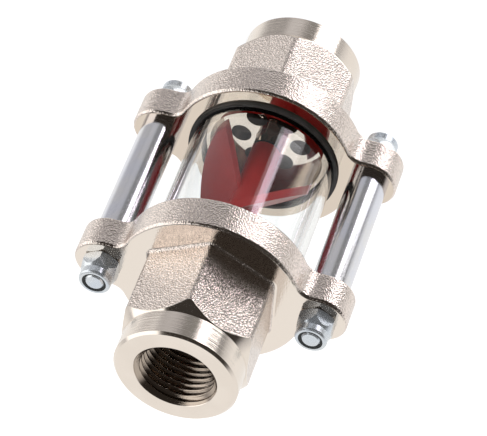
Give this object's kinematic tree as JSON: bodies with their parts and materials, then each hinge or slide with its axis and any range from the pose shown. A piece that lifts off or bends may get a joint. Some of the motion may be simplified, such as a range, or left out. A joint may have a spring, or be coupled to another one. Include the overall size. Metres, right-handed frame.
{
  "type": "impeller flow indicator",
  "caption": "Inline flow indicator with threaded end ports: flow spins a red vaned impeller inside a clear glass tube clamped between nickel-plated flanged end bodies.",
  "frame": {"origin": "centre of the lower end face, where the part stands on a surface", "axes": "+Z along the flow axis from the lower to the upper port, X through the tie rods"},
  "size_m": [0.0706, 0.0486, 0.1132],
  "materials": {
    "nickel_plated_brass": "nickel plated, cast grain on the outside and turned faces",
    "zinc_plated_steel": "bright zinc plated",
    "stainless_steel": "ground",
    "clear_glass": "clear polished",
    "black_rubber": "matt",
    "bearing_plastic": "satin",
    "black_plastic": "satin",
    "red_plastic": "moulded, satin"
  },
  "bodies": {
    "indicator_body": {"lower_housing": "nickel_plated_brass", "upper_housing": "nickel_plated_brass", "lower_bearing_plate": "nickel_plated_brass", "upper_bearing_plate": "nickel_plated_brass", "sight_glass": "clear_glass", "lower_gasket": "black_rubber", "upper_gasket": "black_rubber", "lower_bush": "bearing_plastic", "upper_bush": "bearing_plastic", "lower_thrust_washer": "black_plastic", "upper_thrust_washer": "black_plastic", "tie_rod_left": "zinc_plated_steel", "spacer_sleeve_left": "zinc_plated_steel", "lower_lock_nut_left": "zinc_plated_steel", "lower_nylon_ring_left": "black_plastic", "upper_lock_nut_left": "zinc_plated_steel", "upper_nylon_ring_left": "black_plastic", "tie_rod_right": "zinc_plated_steel", "spacer_sleeve_right": "zinc_plated_steel", "lower_lock_nut_right": "zinc_plated_steel", "lower_nylon_ring_right": "black_plastic", "upper_lock_nut_right": "zinc_plated_steel", "upper_nylon_ring_right": "black_plastic"},
    "impeller": {"rotor": "red_plastic", "rotor_axle": "stainless_steel"}
  },
  "joints": [
    {"name": "rotor_spin", "type": "hinge", "parent": "indicator_body", "child": "impeller", "pos_m": [0, 0, 0.0566], "axis": [0, 0, 1], "continuous": true}
  ]
}
